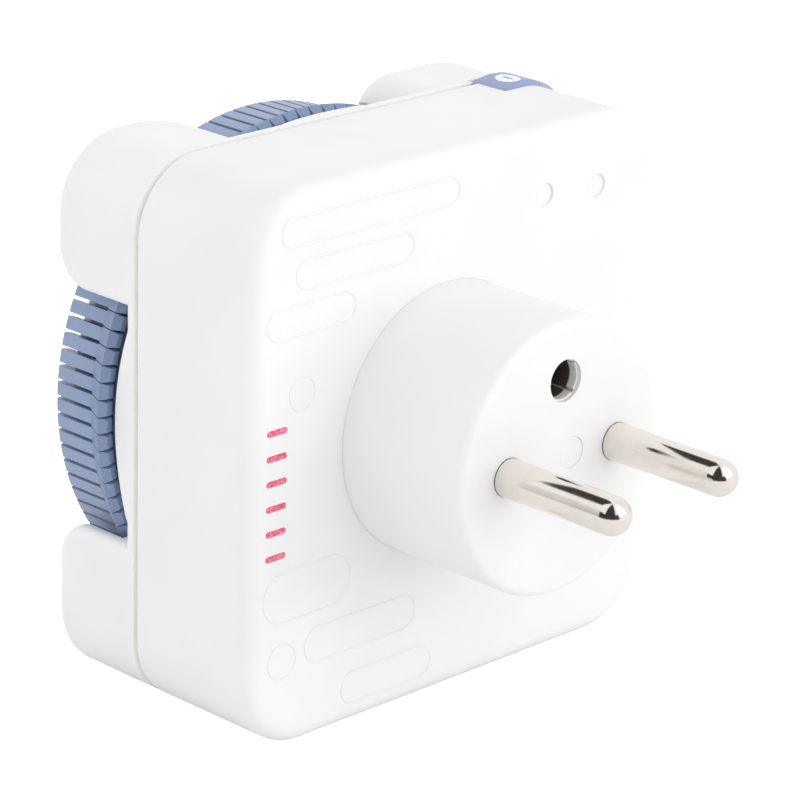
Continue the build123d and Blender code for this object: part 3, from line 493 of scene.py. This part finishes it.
def raise_up(shape, height):
    """Gives a flat shape a thickness along its +Z."""
    shape.normal_update()
    lid = bmesh.ops.extrude_face_region(shape, geom=list(shape.faces))["geom"]
    tops = [part for part in lid if isinstance(part, bmesh.types.BMVert)]
    bmesh.ops.translate(shape, verts=tops, vec=(0, 0, height))
    shape.normal_update()


def join(target, other, place=Matrix.Identity(4)):
    """Adds one bmesh to another at a place."""
    other.transform(place)
    mesh = bpy.data.meshes.new("joined")
    other.to_mesh(mesh)
    other.free()
    target.from_mesh(mesh)
    bpy.data.meshes.remove(mesh)


# %% [markdown]
# ## Raised frames on the back
# Moulded captions on such a box sit in long frames with round ends. The captions are
# left out and the frames stay. Each one is two loops of a stretched circle, bridged
# into a flat band, raised by less than a tenth of a millimetre, and rounded on its rim.

# %% Helpers: band with round ends
same_height = 1e-8
rim_share = 0.3


def loop_edges(ring):
    """The edges of a closed loop of vertices, each of them once."""
    return list(dict.fromkeys(edge for vert in ring for edge in vert.link_edges))


def stadium(shape, length, width, segments=28):
    """Loop with round ends, made from a circle that is pulled apart along X."""
    ring = bmesh.ops.create_circle(shape, radius=width / 2, segments=segments)["verts"]
    half_step = Matrix.Rotation(pi / segments, 3, "Z")
    bmesh.ops.rotate(shape, verts=ring, cent=(0, 0, 0), matrix=half_step)
    pull = max(length - width, 0) / 2
    for side in (-1, 1):
        half = [vert for vert in ring if vert.co.x * side > 0]
        bmesh.ops.translate(shape, verts=half, vec=(side * pull, 0, 0))
    return loop_edges(ring)


def round_rims(shape, height, radius):
    """Rounds the edges that lie at that height."""
    rims = [
        edge for edge in shape.edges
        if all(abs(vert.co.z - height) < same_height for vert in edge.verts)
        and len(edge.link_faces) == 2
        and any(abs(face.normal.z) < 0.5 for face in edge.link_faces)
    ]
    bmesh.ops.bevel(
        shape, geom=rims, offset=radius, segments=2, profile=0.5,
        affect="EDGES", material=-1,
    )


def raised_band(length, width, line, height):
    """Raised outline with round ends, standing on z = 0."""
    shape = bmesh.new()
    outer = stadium(shape, length + line, width + line)
    inner = stadium(shape, length - line, width - line)
    bmesh.ops.bridge_loops(shape, edges=outer + inner)
    raise_up(shape, height)
    round_rims(shape, height, line * rim_share)
    return shape


# %% [markdown]
# Each frame is listed by its limits in X and Z. A band starts slightly under the
# surface, so no gap shows below it, and a matrix turns its raised side outwards.

# %% Frames and rings on the back face
sink = 0.02 * MM
line_width = 0.34 * MM
line_height = 0.07 * MM

back_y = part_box("back_shell")[1].y
facing_back = Matrix(((-1, 0, 0), (0, 0, 1), (0, 1, 0))).to_4x4()


def on_back(x, z):
    """Place on the back face, with local Z outwards. X and Z are in millimetres."""
    return Matrix.Translation((x * MM, back_y - sink, z * MM)) @ facing_back


# Lowest and highest X, then lowest and highest Z, in millimetres.
caption_frames = (
    (-1.6, 28.0, 27.2, 30.8),
    (6.0, 25.6, 21.6, 25.3),
    (15.7, 30.2, 16.1, 19.9),
    (15.7, 30.2, -20.2, -13.6),
    (4.2, 23.2, -26.9, -22.3),
    (1.2, 16.8, -34.3, -30.0),
)
# X, Z and radius, in millimetres.
round_frames = ((27.0, -25.3, 2.3), (24.3, 8.6, 2.1))

frames = bmesh.new()
for x_low, x_high, z_low, z_high in caption_frames:
    length, width = (x_high - x_low) * MM, (z_high - z_low) * MM
    band = raised_band(length, width, line_width, line_height + sink)
    join(frames, band, on_back((x_low + x_high) / 2, (z_low + z_high) / 2))
for x, z, radius in round_frames:
    across = 2 * radius * MM
    band = raised_band(across, across, line_width, line_height + sink)
    join(frames, band, on_back(x, z))
piece("moulded_frames", frames, shell_white, "housing")

# %% [markdown]
# ## Red ink
# A red mark is stamped on the edge of the back by a rubber type. It is only a column of
# plain bars here. Ink sits on the plastic as a film of a few hundredths of a millimetre
# and is thinner in patches, so its colour goes from pink to red.

# %% Stamped bars
ink_relief = 0.002 * MM
ink_edge = 0.02 * MM
ink_height = 0.03 * MM


def printed(name, colour, thin, roughness=0.5, patch=0.5):
    """Ink that thins out in patches. The patch's size is in millimetres."""
    finish = Finish(name)
    cover = finish.noise(patch * MM, 4.0, 0.6).ramp(0.3, 0.62)
    finish.shade(
        Base_Color=finish.mix(cover, thin, colour),
        Roughness=roughness + 0.1 * (cover - 0.5),
        Normal=finish.relief(cover, ink_relief, ink_edge),
    )
    return finish


red_ink = printed("red_ink", tone(226, 62, 98), tone(244, 150, 172))
bar_count = 6
# Sizes and places on the back face, in millimetres.
bar_length, bar_width = 3.3, 0.8
bar_x, bar_top, bar_pitch = 28.4, 4.7, 3.2

bars = bmesh.new()
for number in range(bar_count):
    bar = bmesh.new()
    outline = stadium(bar, bar_length * MM, bar_width * MM, 16)
    bmesh.ops.contextual_create(bar, geom=outline)
    raise_up(bar, ink_height + sink)
    join(bars, bar, on_back(bar_x, bar_top - number * bar_pitch))
piece("stamped_bars", bars, red_ink, "housing")

# %% [markdown]
# ## Hours on the number ring
# The ring that the tappets surround is printed with the hours and a tick for every
# quarter. Figures come from Blender's own font: a text is made a mesh, and the mesh a
# bmesh. Ticks are plain bars. Both are drawn flat and then set on the front at their
# radius and angle.

# %% Helpers: figures, bars and places on the front
def figure(text, height):
    """Flat text as a bmesh, centred on the origin."""
    curve = bpy.data.curves.new("figure", "FONT")
    curve.body = text
    curve.size = height
    curve.align_x = "CENTER"
    curve.align_y = "CENTER"
    curve.resolution_u = 4
    holder = bpy.data.objects.new("figure", curve)
    bpy.context.scene.collection.objects.link(holder)
    bpy.context.view_layer.update()
    evaluated = holder.evaluated_get(bpy.context.evaluated_depsgraph_get())
    mesh = bpy.data.meshes.new_from_object(evaluated)
    shape = bmesh.new()
    shape.from_mesh(mesh)
    bpy.data.objects.remove(holder)
    bpy.data.curves.remove(curve)
    bpy.data.meshes.remove(mesh)
    bmesh.ops.remove_doubles(shape, verts=shape.verts, dist=weld_distance)
    return shape


def bar_shape(width, height):
    """Flat bar about the origin."""
    shape = bmesh.new()
    bmesh.ops.create_grid(shape, x_segments=1, y_segments=1, size=0.5)
    bmesh.ops.scale(shape, verts=shape.verts, vec=(width, height, 1))
    return shape


def on_front(radius, angle):
    """Place on the front at an angle from +X to +Z. Local Y points outwards, Z to -Y."""
    out = Vector((cos(angle), 0, sin(angle)))
    ahead = Vector((0, -1, 0))
    side = out.cross(ahead)
    turned = Matrix((side, out, ahead)).transposed().to_4x4()
    return Matrix.Translation(out * radius) @ turned


# %% [markdown]
# The number ring slopes outwards a little. A figure on it would stand off at one end
# and sink in at the other, so the whole print is dropped onto the slope, vertex by
# vertex.

# %% Printed hours and ticks
dark_ink = printed("dark_blue_ink", tone(44, 62, 104), tone(70, 88, 128), 0.4, 0.9)
ring_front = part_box("number_ring")[0].y
slope_inner = 24.4 * MM
slope_outer = 29.95 * MM
slope_rise = 0.5 * MM
quarter_count = 96
# Width, length and radius of a tick, in millimetres.
hour_tick = (0.2, 1.3, 29.2)
quarter_tick = (0.13, 0.7, 29.5)
even_height = 2.6 * MM
odd_height = 2.1 * MM
figure_radius = 26.6 * MM


def slope_depth(radius):
    """Y of the number ring's front at a radius."""
    share = min(max((radius - slope_inner) / (slope_outer - slope_inner), 0), 1)
    return ring_front + share * slope_rise


hours = bmesh.new()
for quarter in range(quarter_count):
    angle = pi / 2 - quarter * 2 * pi / quarter_count
    full_hour = quarter % 4 == 0
    width, length, radius = hour_tick if full_hour else quarter_tick
    tick = bar_shape(width * MM, length * MM)
    raise_up(tick, ink_height + sink)
    join(hours, tick, on_front(radius * MM, angle))
    if full_hour:
        hour = quarter // 4 or 24
        label = figure(str(hour), even_height if hour % 2 == 0 else odd_height)
        raise_up(label, ink_height + sink)
        join(hours, label, on_front(figure_radius, angle))
for vert in hours.verts:
    radius = sqrt(vert.co.x ** 2 + vert.co.z ** 2)
    vert.co.y += slope_depth(radius) + sink
piece("printed_hours", hours, dark_ink, "dial")

# %% [markdown]
# ## Pointer
# The socket stays still while the ring turns, so its flange carries the pointer that
# the hour is read against. It is a circle with three segments, slightly narrowed.

# %% Pointer on the flange
pointer_size = 0.95 * MM
pointer_narrowing = 0.9
pointer_height = 0.12 * MM
pointer_round = 0.05 * MM
pointer_radius = 22.55 * MM

flange_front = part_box("socket_insert")[0].y
pointer = bmesh.new()
corners = bmesh.ops.create_circle(
    pointer, cap_ends=True, radius=pointer_size, segments=3
)["verts"]
bmesh.ops.scale(pointer, verts=corners, vec=(pointer_narrowing, 1, 1))
raise_up(pointer, pointer_height + sink)
round_rims(pointer, pointer_height + sink, pointer_round)
pointer.transform(
    Matrix.Translation((0, flange_front + sink, 0)) @ on_front(pointer_radius, pi / 2)
)
piece("time_pointer", pointer, dial_blue, "housing")

# %% [markdown]
# ## Marks on the thumb wheel
# The wheel in the corner picks off, timed or always on. Its rim carries three white
# marks, 40 degrees apart: a zero, a clock and a bar. They are drawn flat, cut into
# short strips, and wrapped round the rim.

# %% Helpers: ovals and wrapping
wheel_radius = 10.0 * MM
wheel_centre = Vector((-29.5, 0, 24.4)) * MM
mark_y = -38.5 * MM
longest_strip = 0.5 * MM


def oval_band(outer, hole):
    """Flat oval with an oval hole. Both sizes are in millimetres."""
    shape = bmesh.new()
    edges = []
    for width, height in (outer, hole):
        ring = bmesh.ops.create_circle(shape, radius=0.5, segments=40)["verts"]
        bmesh.ops.scale(shape, verts=ring, vec=(width * MM, height * MM, 1))
        edges += loop_edges(ring)
    bmesh.ops.bridge_loops(shape, edges=edges)
    return shape


def wrap(target, flat, angle):
    """Wraps a flat mark round the rim. Its X runs round the rim, its Y along the axle."""
    for _ in range(2):
        long_edges = [edge for edge in flat.edges if edge.calc_length() > longest_strip]
        bmesh.ops.subdivide_edges(flat, edges=long_edges, cuts=1, use_grid_fill=True)
    raise_up(flat, ink_height + sink)
    for vert in flat.verts:
        around = angle + vert.co.x / wheel_radius
        reach = wheel_radius - sink + vert.co.z
        offset = Vector((reach * sin(around), mark_y + vert.co.y, reach * cos(around)))
        vert.co = wheel_centre + offset
    join(target, flat)


# %% [markdown]
# The zero and the clock's face are ovals with a hole. The clock's hands and the last
# mark are plain bars.

# %% Wrapped marks
white_ink = printed("white_ink", tone(246, 249, 252), tone(214, 224, 240), 0.45, 0.6)
mark_step = radians(40)
first_mark = radians(1.9)
# Sizes round the rim and along the axle, in millimetres.
zero_outer, zero_hole = (3.0, 3.6), (0.6, 1.9)
clock_outer, clock_hole = (3.4, 3.4), (2.7, 2.7)
bar_across, bar_along = 0.8, 3.4
hand_width, long_hand, short_hand = 0.34, 1.1, 0.9
long_hand_shift, short_hand_shift = 0.45, 0.35

marks = bmesh.new()
wrap(marks, oval_band(zero_outer, zero_hole), first_mark)
clock = oval_band(clock_outer, clock_hole)
upright = bar_shape(hand_width * MM, long_hand * MM)
join(clock, upright, Matrix.Translation((0, long_hand_shift * MM, 0)))
sideways = bar_shape(short_hand * MM, hand_width * MM)
join(clock, sideways, Matrix.Translation((short_hand_shift * MM, 0, 0)))
wrap(marks, clock, first_mark - mark_step)
wrap(marks, bar_shape(bar_across * MM, bar_along * MM), first_mark - 2 * mark_step)
piece("wheel_marks", marks, white_ink, "selector")

# %% [markdown]
# ## Floor
# The object stands on a large sheet of pale paper. The sheet glows for the camera
# alone, so it fades into the white of the room while it still takes the shadow.

# %% Floor
floor_size = 6.0
floor_gap = 0.01 * MM
paper_white = (0.9, 0.9, 0.9, 1)
paper_lift = 0.8


def matt(name, colour):
    """Paper and card: no gloss at all."""
    finish = Finish(name)
    finish.shade(Base_Color=colour, Roughness=0.9, Specular_IOR_Level=0.0)
    return finish


paper = matt("paper_floor", paper_white)
paper.shade(Emission_Color=(1, 1, 1, 1), Emission_Strength=paper.rays("Camera") * paper_lift)

floor_z = cad_box[0][2] - floor_gap
floor_shape = bmesh.new()
bmesh.ops.create_grid(floor_shape, x_segments=1, y_segments=1, size=floor_size / 2)
bmesh.ops.translate(floor_shape, verts=floor_shape.verts, vec=(0, 0, floor_z))
floor = object_from("floor", floor_shape, paper)
print("floor at z =", round(floor_z, 5), "m")

# %% [markdown]
# ## Room
# The world is the room: an even pale light for the surfaces, and plain white wherever
# the camera, a reflection or a refraction looks at it. Its node tree has a Background
# shader in place of the Principled one, and the same methods serve it.

# %% World
class Room(Finish):
    """The world: its node tree and its Background shader."""

    def __init__(self, name):
        self.world = bpy.data.worlds.new(name)
        self.world.use_nodes = True
        self.tree = self.world.node_tree
        self.shader = self.tree.nodes["Background"]


room_light = 0.97

room = Room("room")
bpy.context.scene.world = room.world
looked_at = room.rays("Camera").either(room.rays("Glossy")).either(room.rays("Transmission"))
room.shade(Color=(1, 1, 1, 1), Strength=room_light + (1 - room_light) * looked_at)
print("room light:", room_light)

# %% [markdown]
# ## Soft boxes
# Three soft boxes shape the form. One stands high on the plug's side, one low beside
# it, and the weakest faces the socket and the dial. They are left out of reflections,
# because the pins would show them as hard white squares.

# %% Lamps
def soft_box(name, place, width, height, power):
    """Rectangular lamp that faces the origin. All sizes are in metres, power in watts."""
    lamp = bpy.data.lights.new(name, "AREA")
    lamp.shape = "RECTANGLE"
    lamp.size = width
    lamp.size_y = height
    lamp.energy = power
    holder = bpy.data.objects.new(name, lamp)
    turned = Vector(place).to_track_quat("Z", "Y").to_matrix().to_4x4()
    holder.matrix_world = Matrix.Translation(place) @ turned
    holder.visible_glossy = False
    bpy.context.scene.collection.objects.link(holder)
    print(name, "gives", power, "W")


soft_box("key_box", (-0.25, 0.9, 0.55), 0.9, 0.7, 1.9)
soft_box("back_box", (-0.8, 0.9, 0.1), 0.7, 0.7, 2.1)
soft_box("front_box", (0.9, -0.8, 0.1), 0.7, 0.7, 1.0)

# %% [markdown]
# ## Cards for the nickel to mirror
# Polished metal shows only what stands round it, and in an all-white room the pins
# would look like white plastic. Curved cards hang round the object and show in
# reflections alone. The black ones give the dark streaks along the pins and on their
# round ends, the grey ones soften the streaks' borders, and a bright one puts a light
# patch beside them.

# %% Cards
card_distance = 1.1

black_card = matt("black_card", (0.05, 0.045, 0.04, 1))
dark_card = matt("dark_card", (0.5, 0.49, 0.48, 1))
grey_card = matt("grey_card", (0.78, 0.77, 0.76, 1))
window_card = matt("window_card", (0.9, 0.9, 0.9, 1))
window_card.shade(Emission_Color=(1, 1, 1, 1), Emission_Strength=0.7)


def flag(name, azimuths, elevations, finish):
    """Curved card between two azimuths, from +X towards +Y, and two elevations."""
    shape = bmesh.new()
    bmesh.ops.create_grid(shape, x_segments=12, y_segments=6, size=0.5)
    for vert in shape.verts:
        azimuth = radians(azimuths[0] + (vert.co.x + 0.5) * (azimuths[1] - azimuths[0]))
        elevation = radians(elevations[0] + (vert.co.y + 0.5) * (elevations[1] - elevations[0]))
        level = card_distance * cos(elevation)
        height = card_distance * sin(elevation)
        vert.co = (level * cos(azimuth), level * sin(azimuth), height)
    made = object_from(name, shape, finish)
    made.visible_camera = False
    made.visible_diffuse = False
    made.visible_shadow = False
    print(name, "has", len(made.data.polygons), "faces")


# All angles are in degrees.
flag("room_flag", (-36, 84), (-18, 24), black_card)
flag("mast_flag", (0, 62), (24, 89), black_card)
flag("ceiling_flag", (-113, -60), (30, 89), black_card)
flag("side_flag", (-62, -36), (0, 26), grey_card)
flag("table_flag", (-58, -36), (-4, 0), dark_card)
flag("bright_window", (80, 135), (12, 70), window_card)

# %% [markdown]
# ## Colour view
# The CAD model and the dressed object should fill nearly the same box. The last step
# sets the Standard view, which keeps each colour as it was typed.

# %% Colour view
bpy.context.scene.view_settings.view_transform = "Standard"
